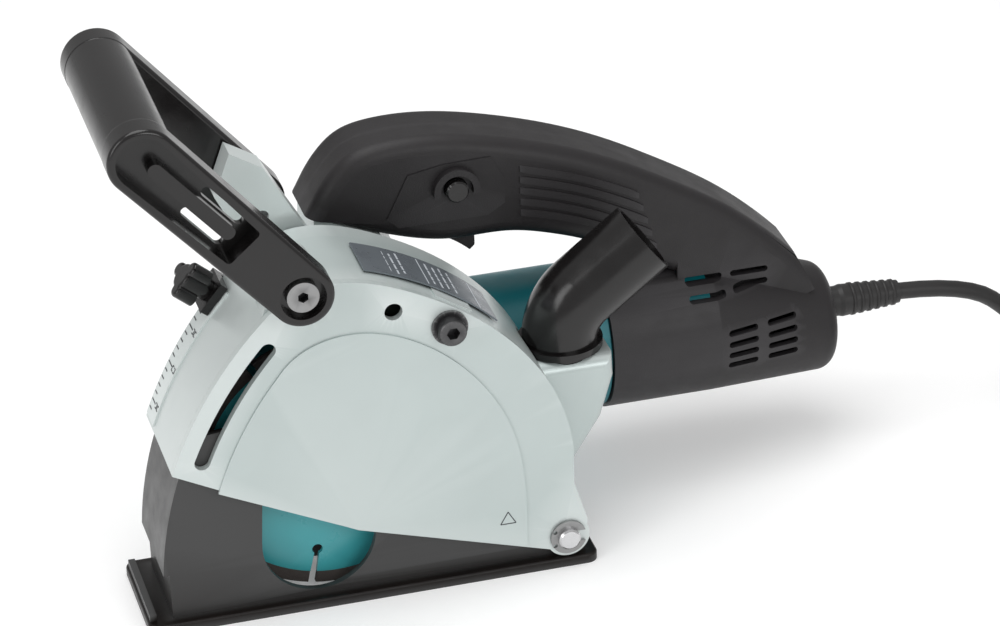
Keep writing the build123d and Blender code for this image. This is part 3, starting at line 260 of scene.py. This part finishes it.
def mesh_of(obj):
    """The evaluated mesh of an object, as a new mesh."""
    bpy.context.view_layer.update()
    return bpy.data.meshes.new_from_object(obj.evaluated_get(bpy.context.evaluated_depsgraph_get()))


# ---------------------------------------------------------------- mains lead
CORD_D = 8.0 * MM
EXIT_DROP = 4.4 * MM      # the lead leaves the cover this far below the motor axis
COIL_HALF = 13 * MM       # half width of the ring of turns
CORD_TURNS = 7
TURN_POINTS = 16
COLUMN_PITCH = 8.2 * MM
LAYER_PITCH = 8.1 * MM
FLOOR_GAP = 0.1 * MM
CROSSING = 0.3            # share of a turn in which the lead moves to the next place

# column and layer of each turn in the ring's section
TURN_PLACES = [(0, 0), (1, 0), (2, 0), (2, 1), (1, 1), (0, 1), (1, 2)]


def coil_place():
    """Centre of the coil, and radius at the middle of its turns."""
    low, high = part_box("cord_coil")
    return (low + high) / 2, (high.x - low.x) / 2 - COIL_HALF


def on_circle(centre, radius, angle, z):
    """A point of a level circle."""
    return Vector((centre.x + radius * math.cos(angle), centre.y + radius * math.sin(angle), z))


def coil_points():
    """Seven turns, wound from the +Y side of the coil."""
    centre, middle_r = coil_place()
    points = []
    for i in range(CORD_TURNS * TURN_POINTS):
        turn, step = divmod(i, TURN_POINTS)
        share = step / TURN_POINTS
        here = TURN_PLACES[turn]
        after = TURN_PLACES[min(turn + 1, CORD_TURNS - 1)]
        move = max(0.0, (share - (1 - CROSSING)) / CROSSING)
        column = here[0] + (after[0] - here[0]) * move
        layer = here[1] + (after[1] - here[1]) * move
        radius = middle_r + (1 - column) * COLUMN_PITCH
        z = CORD_D / 2 + FLOOR_GAP + layer * LAYER_PITCH
        points.append(on_circle(centre, radius, math.pi / 2 - 2 * math.pi * share, z))
    return points


def lead_line():
    """Control points of the lead: guard, floor, coil, then half a turn down to the plug."""
    centre, middle_r = coil_place()
    guard_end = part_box("cord_guard")[1].x
    line = [Vector((guard_end, MOTOR_Y, SPINDLE.z - EXIT_DROP)), Vector((222 * MM, MOTOR_Y, 59 * MM))]
    line += [Vector(p) * MM for p in ((248, 62.2, 37), (265, 63.2, 12), (286.5, 64.8, 4.1))]
    line += coil_points()
    plug_low, plug_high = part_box("mains_plug")
    end = (plug_low + plug_high) / 2
    end.x = plug_high.x - 2 * MM
    last = line[-1].z
    half_turn = TURN_POINTS // 2
    for k in range(1, half_turn + 1):
        fall = (k / half_turn) ** 2
        angle = math.pi / 2 - 2 * math.pi * (k - 1) / TURN_POINTS
        line.append(on_circle(centre, middle_r, angle, last * (1 - fall) + end.z * fall))
    line.append(Vector((centre.x, centre.y - middle_r, end.z)))
    line.append(Vector((centre.x - 20 * MM, end.y, end.z)))
    line.append(end)
    return line


def tube_along(line):
    """A round tube along a smooth line through the control points, and the points it follows."""
    curve = bpy.data.curves.new("mains_lead_line", "CURVE")
    curve.dimensions = "3D"
    spline = curve.splines.new("NURBS")
    spline.points.add(len(line) - 1)
    for point, place in zip(spline.points, line):
        point.co = (*place, 1)
    spline.order_u = 3
    spline.use_endpoint_u = True
    spline.resolution_u = 6
    guide = bpy.data.objects.new("mains_lead_guide", curve)
    bpy.context.scene.collection.objects.link(guide)
    centre_line = mesh_of(guide)
    path = [tuple(v.co) for v in centre_line.vertices]
    bpy.data.meshes.remove(centre_line)
    curve.bevel_depth = CORD_D / 2
    curve.bevel_resolution = 5
    curve.use_fill_caps = True
    tube = mesh_of(guide)
    bpy.data.objects.remove(guide)
    return tube, path


def make_cord(material):
    """The mains lead, one tube from the cord guard round the coil to the plug."""
    line = lead_line()
    tube, path = tube_along(line)
    tube.name = "mains_lead"
    tube.materials.clear()
    tube.materials.append(material)
    tube.polygons.foreach_set("use_smooth", [True] * len(tube.polygons))
    lead = bpy.data.objects.new("mains_lead", tube)
    bpy.context.scene.collection.objects.link(lead)
    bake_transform(lead)
    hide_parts("mains_cord", "cord_coil")


# ---------------------------------------------------------------- details on the tool
def polar(radius, angle):
    """A point at this radius and angle, in mm and degrees, about the hinge pin."""
    turn = math.radians(angle)
    return Vector((radius * math.cos(turn), 0, PIN.z / MM + radius * math.sin(turn)))


def add_bar(bm, centre, along, across, normal, length, width, height):
    """A low bar with bevelled shoulders standing on a surface; sizes in mm."""
    shoulder = 0.35 * height
    rings = []
    for lift, inset in ((-0.05, 0.0), (height - shoulder, 0.0), (height, shoulder)):
        half_l = length / 2 - inset
        half_w = width / 2 - inset
        rings.append([
            bm.verts.new((centre + along * (a * half_l) + across * (b * half_w) + normal * lift) * MM)
            for a, b in ((-1, -1), (1, -1), (1, 1), (-1, 1))
        ])
    for low, high in zip(rings, rings[1:]):
        for i in range(4):
            bm.faces.new((low[i], low[(i + 1) % 4], high[(i + 1) % 4], high[i]))
    bm.faces.new(rings[-1])


def add_strip(bm, lower, upper, height):
    """A raised strip on the plane Y = 0, facing -Y, between two lines of X, Z points in mm."""
    count = len(lower)
    sunk = 0.05
    shoulder = 0.35
    rows = []
    for line, y, inward in (
        (lower, sunk, 0.0), (lower, -height, shoulder), (upper, -height, -shoulder), (upper, sunk, 0.0),
    ):
        rows.append([bm.verts.new(Vector((x, y, z + inward)) * MM) for x, z in line])
    for first, second in zip(rows, rows[1:]):
        for i in range(count - 1):
            bm.faces.new((first[i], first[i + 1], second[i + 1], second[i]))
    bm.faces.new([row[0] for row in rows])
    bm.faces.new([row[-1] for row in rows])


# the part of the handle's side outline that the ribs follow, X and Z in mm
HANDLE_TOP = [(-26, 181.5), (-6, 177), (24, 167.5), (49, 156.5), (74, 142.5), (99, 126.5)]
HANDLE_UNDER = [(-31, 131), (-4, 130.5), (14, 126.5), (36.5, 118), (58, 106), (74, 97)]


def height_on(line, x):
    """Height of a line of X, Z points at x, by smooth interpolation."""
    for i in range(len(line) - 1):
        if line[i][0] <= x <= line[i + 1][0]:
            before = line[max(i - 1, 0)]
            after = line[min(i + 2, len(line) - 1)]
            (x0, z0), (x1, z1) = line[i], line[i + 1]
            share = (x - x0) / (x1 - x0)
            slope0 = (z1 - before[1]) / (x1 - before[0])
            slope1 = (after[1] - z0) / (after[0] - x0)
            run = x1 - x0
            return (
                (2 * share**3 - 3 * share**2 + 1) * z0 + (share**3 - 2 * share**2 + share) * run * slope0
                + (-2 * share**3 + 3 * share**2) * z1 + (share**3 - share**2) * run * slope1
            )
    return line[-1][1]


RIBS = 5
RIB_START = 1             # X of the ribs' front ends
RIB_RUN = 63
RIB_MARGIN = 9            # left free along the handle's rounded edges
RIB_GAP = 0.6
RIB_HEIGHT = 0.7


def make_grip_ribs(material, name, y, sign):
    """Soft ribs along one side of the handle; sign is -1 on the near side and 1 on the far side."""
    bm = bmesh.new()
    steps = 28
    for rib in range(RIBS):
        lower, upper = [], []
        for i in range(steps + 1):
            x = RIB_START + i * (RIB_RUN - rib * 2.0) / steps
            low = height_on(HANDLE_UNDER, x) + RIB_MARGIN
            band = (height_on(HANDLE_TOP, x) - RIB_MARGIN - low) / RIBS
            rounding = 0.5 * (abs(2 * i / steps - 1) ** 16)
            lower.append((x, low + band * rib + RIB_GAP + rounding))
            upper.append((x, low + band * (rib + 1) - RIB_GAP - rounding))
        add_strip(bm, lower, upper, RIB_HEIGHT)
    for v in bm.verts:
        v.co.y = y - sign * v.co.y
    ribs = mesh_object(name, bm, material, smooth=False)
    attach(ribs, "tool")


MARK_RADIUS = 187.35      # just proud of the scale plate
MARK_HEIGHT = 0.12
MARK_STEP = 1.18          # degrees about the hinge pin
MARK_END_Y = 25.0


def make_depth_marks(material):
    """Plain graduations along the scale plate, a long one with two bar glyphs at every fifth."""
    bm = bmesh.new()
    along = Vector((0, 1, 0))
    for i in range(17):
        angle = 139.4 + i * MARK_STEP
        foot = polar(MARK_RADIUS, angle)
        out = polar(1, angle) - polar(0, angle)
        up = out.cross(along)
        major = i % 5 == 0
        length = 6.0 if major else 3.6
        centre = foot + along * (MARK_END_Y - length / 2)
        add_bar(bm, centre, along, up, out, length, 0.55, MARK_HEIGHT)
        if not major:
            continue
        for k in range(2):
            glyph = foot + along * (17.4 - k * 2.6)
            side = 0.75 - 1.5 * (k ^ (i // 5) & 1)
            add_bar(bm, glyph + up * 1.1, along, up, out, 1.7, 0.45, MARK_HEIGHT)
            add_bar(bm, glyph - up * 1.1, along, up, out, 1.7, 0.45, MARK_HEIGHT)
            add_bar(bm, glyph + along * side, up, along, out, 2.2, 0.45, MARK_HEIGHT)
    marks = mesh_object("depth_scale_marks", bm, material, smooth=False)
    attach(marks, "tool")


# middle line of the rating label, X and Z in mm
LABEL_LINE = [(-86, 157.0), (-67, 149.5), (-50, 140.1), (-36, 129.8), (-28, 122.3)]


def label_point(x):
    """Point and directions on the rating label's outer face, in mm."""
    here = Vector((x + 1.1, 0, height_on(LABEL_LINE, x) + 1.3))
    ahead = Vector((x + 1.6, 0, height_on(LABEL_LINE, x + 0.5) + 1.3))
    along = (ahead - here).normalized()
    return here, along, Vector((-along.z, 0, along.x))


def make_label_print(light):
    """Generic blocks and lines of print on the rating label, with no readable text."""
    bm = bmesh.new()
    y_axis = Vector((0, 1, 0))
    line_pitch = 3.2
    first_x = -80.0
    x = first_x
    while x < -33:
        row = int((x - first_x) / line_pitch)
        here, along, out = label_point(x)
        if row % 7 == 0:
            add_bar(bm, here + y_axis * -4, y_axis, along, out, 23.0, 0.5, 0.1)
        elif row % 7 < 5:
            start = -14.5 + (row * 5) % 3
            for k in range(4):
                width = 2.4 + (row * 7 + k * 5) % 4
                add_bar(bm, here + y_axis * (start + width / 2), y_axis, along, out, width, 0.9, 0.1)
                start += width + 1.1
                if start > 4:
                    break
        x += line_pitch
    printed = mesh_object("label_print", bm, light, smooth=False)
    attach(printed, "tool")


def make_cover_mark(material, y):
    """Small open triangle near the cover's lower rear corner."""
    bm = bmesh.new()
    corners = [Vector((-31, 0, 27)), Vector((-24, 0, 27)), Vector((-27.5, 0, 33))]
    out = Vector((0, -1, 0))
    for a, b in zip(corners, corners[1:] + corners[:1]):
        along = (b - a).normalized()
        centre = (a + b) / 2 + Vector((0, y, 0))
        add_bar(bm, centre, along, out.cross(along), out, (b - a).length, 0.45, 0.12)
    mark = mesh_object("cover_mark", bm, material, smooth=False)
    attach(mark, "tool")


def add_turned(bm, origin, axis, profile, segments=40):
    """Revolve (distance along the axis, radius) points, in mm, about a line."""
    side = axis.orthogonal().normalized()
    other = axis.cross(side)
    rings = []
    for lift, radius in profile:
        ring = []
        for i in range(segments):
            turn = 2 * math.pi * i / segments
            spoke = side * math.cos(turn) + other * math.sin(turn)
            ring.append(bm.verts.new((origin + axis * lift + spoke * radius) * MM))
        rings.append(ring)
    for low, high in zip(rings, rings[1:]):
        for i in range(segments):
            j = (i + 1) % segments
            bm.faces.new((low[i], low[j], high[j], high[i]))


def make_guard_rings(material):
    """Raised rings on the lead's bend guard."""
    low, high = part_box("cord_guard")
    centre = (low + high) / (2 * MM)
    bm = bmesh.new()
    for i in range(6):
        x = high.x / MM - 3.0 - i * 4.0
        radius = 5.45 + (high.x / MM - x) * 0.076
        add_turned(
            bm, Vector((x, centre.y, centre.z)), Vector((1, 0, 0)),
            [(-1.0, radius - 0.2), (-0.7, radius + 0.5), (0.7, radius + 0.5), (1.0, radius - 0.2)],
        )
    rings = mesh_object("guard_rings", bm, material)
    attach(rings, "tool")


def make_shell_screws(steel, y):
    """Heads of the screws that hold the handle halves, on the motor side."""
    bm = bmesh.new()
    for x, z in ((-80, 165), (2, 158), (62, 128)):
        add_turned(
            bm, Vector((x, y - 0.4, z)), Vector((0, 1, 0)),
            [(0.0, 3.6), (0.7, 3.5), (1.1, 3.0), (1.15, 1.5), (0.3, 1.3), (0.2, 0.05)], 36,
        )
    heads = mesh_object("shell_screw_heads", bm, steel)
    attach(heads, "tool")


def make_vent_shade_plate(material):
    """Dark plate on the joint plane inside the rear cover, behind the upper cooling slots: painted shade, so the
    slots look dark instead of showing light through the empty body.
    """
    outline = [
        (89.5, 72), (89.5, 117), (97, 116), (106, 109), (115, 102), (124, 93), (131, 84), (134, 72),
    ]
    bm = bmesh.new()
    near, far = (
        [bm.verts.new(Vector((x, MOTOR_Y / MM + lift, z)) * MM) for x, z in outline] for lift in (-0.9, 0.9)
    )
    bm.faces.new(near)
    bm.faces.new(list(reversed(far)))
    for i in range(len(outline)):
        j = (i + 1) % len(outline)
        bm.faces.new((near[j], near[i], far[i], far[j]))
    bmesh.ops.bevel(bm, geom=list(bm.edges), offset=0.3 * MM, segments=2, affect="EDGES")
    # the plate takes the dark handle plastic and stands in for the shade inside the body: painted shade
    rib = mesh_object("rear_cover_vent_shade_plate", bm, material, smooth=False)
    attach(rib, "tool")


# ---------------------------------------------------------------- stage
def area_light(name, place, target, size, power):
    """A soft rectangular light aimed at a point."""
    data = bpy.data.lights.new(name, "AREA")
    data.shape = "RECTANGLE"
    data.size, data.size_y = size
    data.energy = power
    light = bpy.data.objects.new(name, data)
    bpy.context.scene.collection.objects.link(light)
    light.location = place
    light.rotation_euler = (Vector(target) - Vector(place)).to_track_quat("-Z", "Y").to_euler()


def make_stage():
    """Pale floor, soft overhead light and two side panels."""
    bm = bmesh.new()
    bmesh.ops.create_grid(bm, x_segments=2, y_segments=2, size=6)
    floor_material, _, floor_shader = new_material("floor", (0.82, 0.82, 0.82), 0.7)
    floor_shader.inputs["Emission Color"].default_value = (1, 1, 1, 1)
    floor_shader.inputs["Emission Strength"].default_value = 0.22
    floor = mesh_object("floor", bm, floor_material, smooth=False)
    world = bpy.data.worlds.new("studio")
    bpy.context.scene.world = world
    world.use_nodes = True
    background = world.node_tree.nodes["Background"]
    background.inputs["Color"].default_value = (1, 1, 1, 1)
    background.inputs["Strength"].default_value = 0.52
    aim = (-0.02, 0.02, 0.12)
    area_light("overhead", (-0.2, 0.1, 1.5), aim, (1.4, 1.0), 13)
    area_light("left_panel", (-1.3, -0.7, 0.7), aim, (0.5, 1.0), 5)
    area_light("front_panel", (0.5, -1.5, 0.9), aim, (1.0, 0.6), 7)
    bpy.context.scene.view_settings.view_transform = "Standard"


def main():
    make_camera()
    materials = make_materials()
    make_cord(materials["cord_rubber"])
    dress_cad(materials)
    handle = materials["handle_plastic"]
    make_grip_ribs(handle, "handle_grip_ribs_near", MOTOR_Y - HANDLE_HALF, -1)
    make_grip_ribs(handle, "handle_grip_ribs_far", MOTOR_Y + HANDLE_HALF, 1)
    make_depth_marks(materials["print_dark"])
    make_label_print(materials["print_light"])
    make_cover_mark(materials["print_dark"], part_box("case_cover")[0].y / MM)
    make_guard_rings(materials["cord_rubber"])
    # dark plate behind the upper cooling slots: painted shade inside the rear cover
    make_vent_shade_plate(handle)
    make_shell_screws(materials["dark_steel"], (MOTOR_Y + HANDLE_HALF) / MM)
    make_stage()


main()
